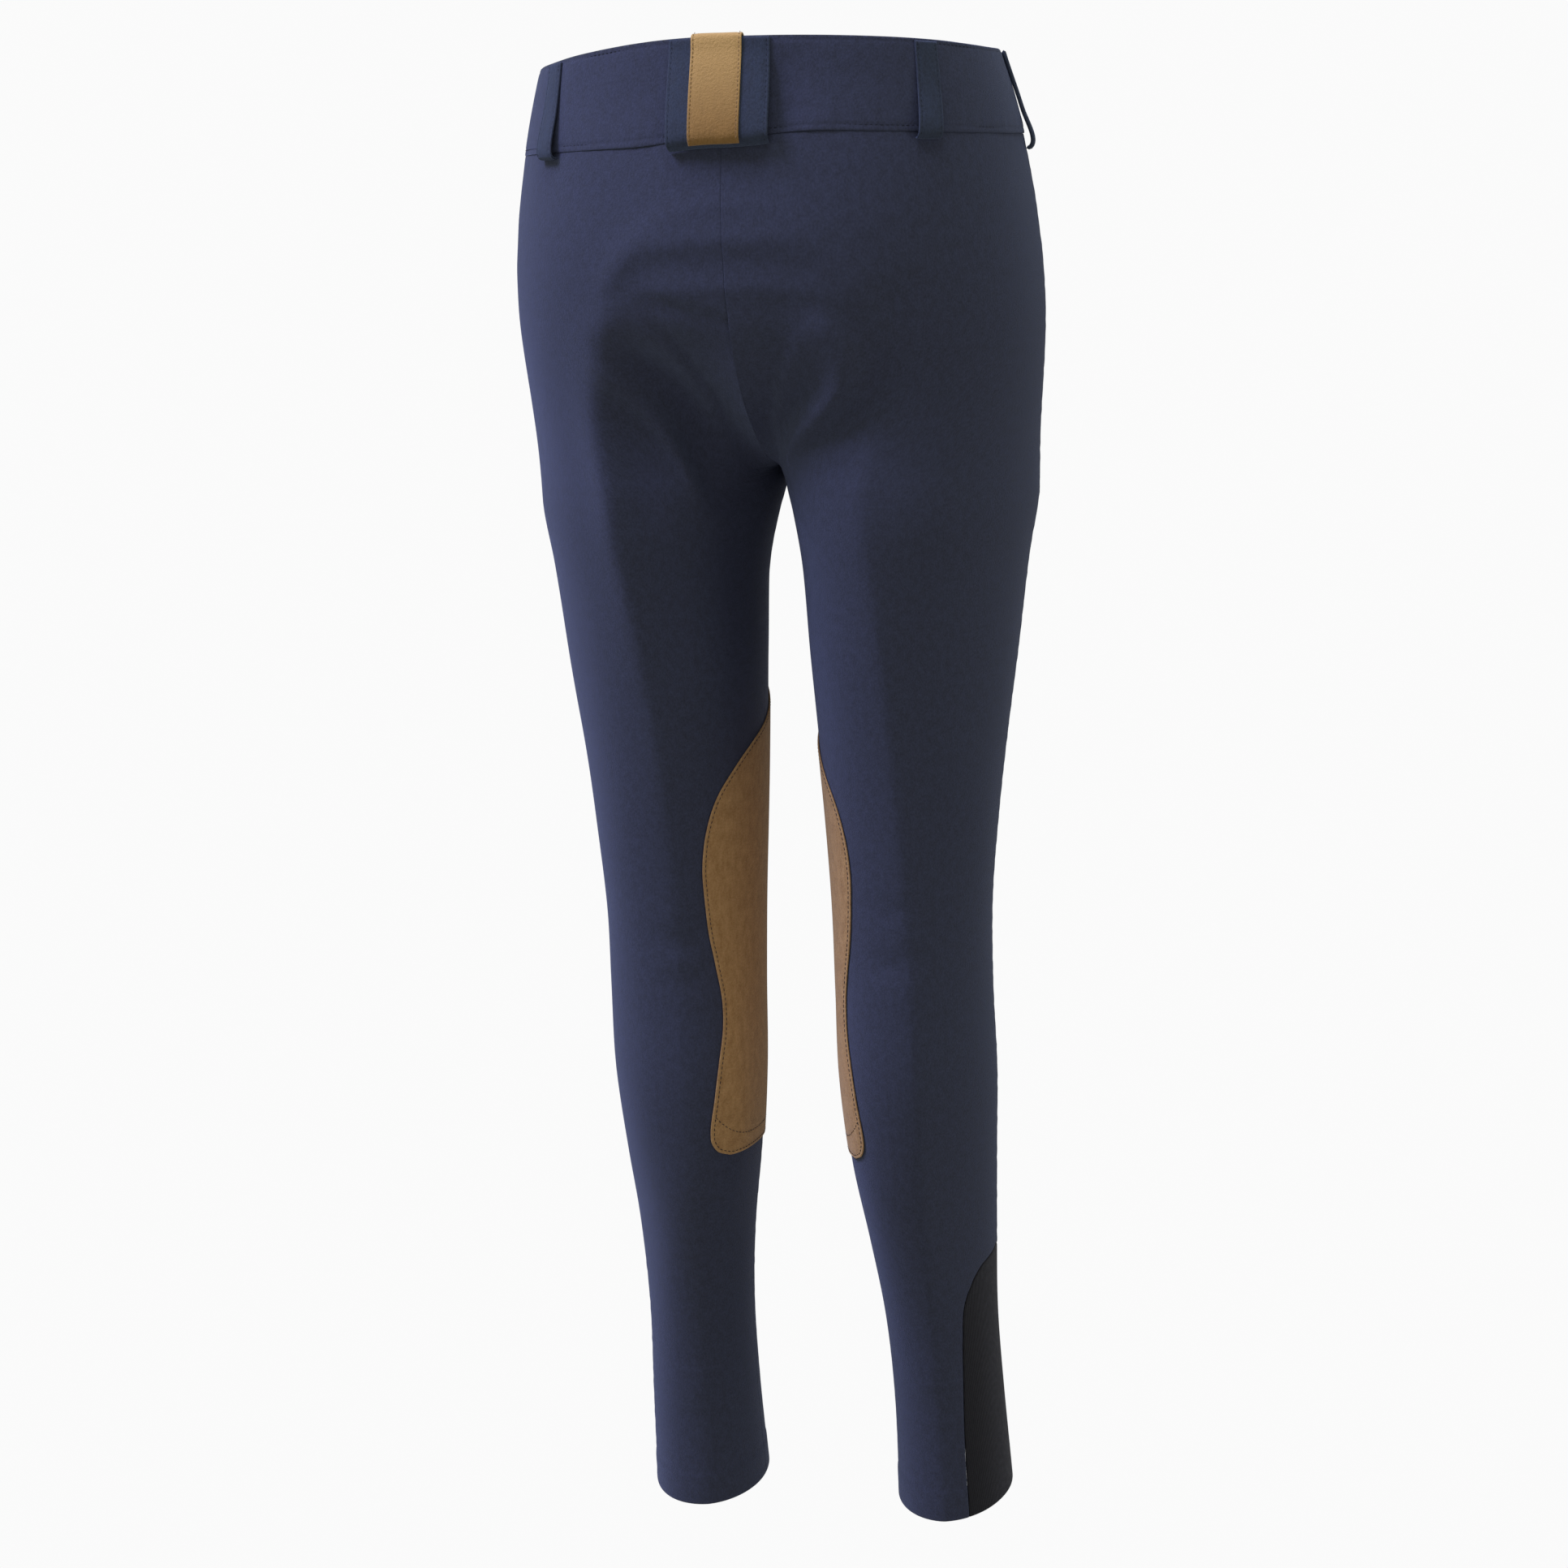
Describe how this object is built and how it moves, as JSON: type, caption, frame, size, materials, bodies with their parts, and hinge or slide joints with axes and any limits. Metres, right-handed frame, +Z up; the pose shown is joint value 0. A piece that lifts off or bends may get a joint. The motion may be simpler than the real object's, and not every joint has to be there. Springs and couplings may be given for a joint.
{
  "type": "riding breeches",
  "caption": "Close-fitting navy riding breeches, hollow as when worn, with tan knee patches, black stretch calf gores, a belt-looped waistband and a fly.",
  "frame": {"origin": "the middle of the waist, level with the waistband's lower seam at the sides", "axes": "+Z up, +Y towards the wearer's front, +X towards the wearer's right side"},
  "size_m": [0.339, 0.2267, 0.9747],
  "materials": {
    "navy_cloth": "matt stretch twill",
    "tan_suede": "napped, suede-like",
    "black_stretch": "smooth stretch jersey",
    "navy_button": "satin"
  },
  "bodies": {
    "root": {"back_left": "navy_cloth", "front_left": "navy_cloth", "waistband_left": "navy_cloth", "knee_patch_left": "tan_suede", "calf_gore_left": "black_stretch", "loop_back_left": "navy_cloth", "loop_side_left": "navy_cloth", "back_right": "navy_cloth", "front_right": "navy_cloth", "waistband_right": "navy_cloth", "knee_patch_right": "tan_suede", "calf_gore_right": "black_stretch", "loop_back_right": "navy_cloth", "loop_side_right": "navy_cloth", "loop_centre": "navy_cloth", "loop_stripe": "tan_suede", "fly": "navy_cloth", "waist_button": "navy_button"}
  },
  "joints": []
}
